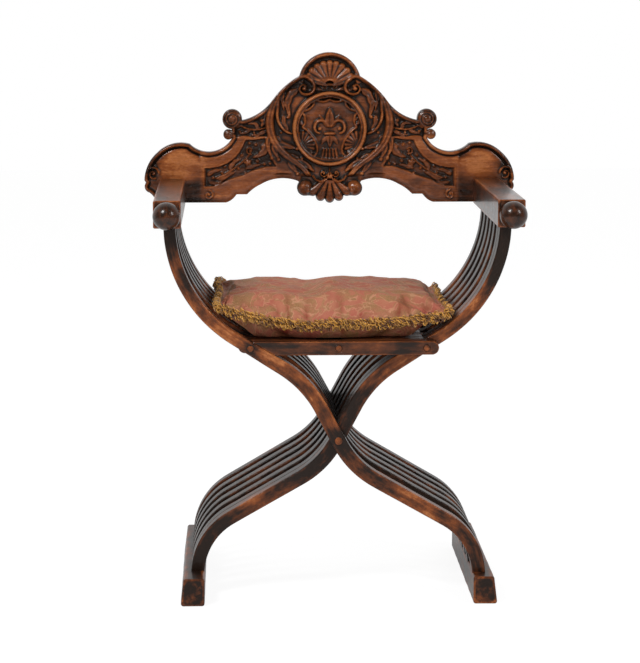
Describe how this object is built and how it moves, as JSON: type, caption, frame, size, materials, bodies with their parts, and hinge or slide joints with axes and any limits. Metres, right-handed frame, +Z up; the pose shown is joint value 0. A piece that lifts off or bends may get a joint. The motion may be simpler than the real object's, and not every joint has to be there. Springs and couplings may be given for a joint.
{
  "type": "savonarola chair",
  "caption": "Folding armchair of interleaved S-curved wooden slats on a pivot rod, with square arms, ball knobs, a carved lift-off back board and a loose fringed brocade cushion.",
  "frame": {"origin": "on the floor, under the middle of the chair's overall width and depth", "axes": "+Z up, -Y the way the sitter faces, +X to the sitter's left (the right side seen from the front)"},
  "size_m": [0.703, 0.5032, 0.9569],
  "materials": {
    "walnut_slat": "dark waxed walnut, worn orange-brown on the faces",
    "walnut_rail": "dark waxed walnut, rubbed on the edges",
    "walnut_turned": "glossy red-brown walnut",
    "walnut_carved": "carved walnut, dark in the hollows and worn orange-brown on the high parts",
    "dowel_wood": "satin end grain",
    "brocade": "faded salmon brocade with an olive-tan damask figure",
    "gold_fringe": "looped gold braid"
  },
  "bodies": {
    "pivot": {"pivot_rod": "dowel_wood"},
    "left_frame": {"left_frame_slat_1": "walnut_slat", "left_frame_slat_2": "walnut_slat", "left_frame_slat_3": "walnut_slat", "left_frame_slat_4": "walnut_slat", "left_frame_slat_5": "walnut_slat", "left_frame_slat_6": "walnut_slat", "left_arm": "walnut_rail", "left_knob": "walnut_turned", "left_board_pin": "dowel_wood", "right_runner": "walnut_rail", "left_seat_rod": "dowel_wood"},
    "right_frame": {"right_frame_slat_1": "walnut_slat", "right_frame_slat_2": "walnut_slat", "right_frame_slat_3": "walnut_slat", "right_frame_slat_4": "walnut_slat", "right_frame_slat_5": "walnut_slat", "right_frame_slat_6": "walnut_slat", "right_frame_slat_7": "walnut_slat", "right_arm": "walnut_rail", "right_knob": "walnut_turned", "right_board_pin": "dowel_wood", "left_runner": "walnut_rail", "right_seat_rod": "dowel_wood"},
    "right_seat": {"right_seat_slat_1": "walnut_slat", "right_seat_slat_2": "walnut_slat", "right_seat_slat_3": "walnut_slat", "right_seat_slat_4": "walnut_slat", "right_seat_slat_5": "walnut_slat", "right_seat_slat_6": "walnut_slat", "centre_seat_rod": "dowel_wood"},
    "left_seat": {"left_seat_slat_1": "walnut_slat", "left_seat_slat_2": "walnut_slat", "left_seat_slat_3": "walnut_slat", "left_seat_slat_4": "walnut_slat", "left_seat_slat_5": "walnut_slat", "left_seat_slat_6": "walnut_slat", "left_seat_slat_7": "walnut_slat"},
    "board": {"back_board": "walnut_carved"},
    "seat_cushion": {"cushion": "brocade", "cushion_fringe": "gold_fringe"}
  },
  "joints": [
    {"name": "fold", "type": "hinge", "parent": "pivot", "child": "left_frame", "pos_m": [0, 0.01176, 0.289], "axis": [0, 1, 0], "range_deg": [0, 24]},
    {"name": "right_fold", "type": "hinge", "parent": "pivot", "child": "right_frame", "pos_m": [0, 0.01176, 0.289], "axis": [0, -1, 0], "range_deg": [0, 24]},
    {"name": "right_seat_fold", "type": "hinge", "parent": "right_frame", "child": "right_seat", "pos_m": [0.155, 0.01176, 0.4545], "axis": [0, 1, 0], "range_deg": [0, 84]},
    {"name": "left_seat_fold", "type": "hinge", "parent": "left_frame", "child": "left_seat", "pos_m": [-0.155, 0.01176, 0.4545], "axis": [0, -1, 0], "range_deg": [0, 84]},
    {"name": "board_lift", "type": "slide", "parent": "pivot", "child": "board", "axis": [0, 0, 1], "range_m": [0, 0.503]},
    {"name": "cushion_lift", "type": "slide", "parent": "pivot", "child": "seat_cushion", "axis": [0, 0, 1], "range_m": [0, 0.922]}
  ],
  "couplings": [
    {"joint": "right_fold", "follows": "fold", "ratio": 1},
    {"joint": "right_seat_fold", "follows": "fold", "ratio": 3.5},
    {"joint": "left_seat_fold", "follows": "fold", "ratio": 3.5},
    {"joint": "board_lift", "follows": "fold", "m_per_rad": 1.2},
    {"joint": "cushion_lift", "follows": "fold", "m_per_rad": 2.2}
  ]
}
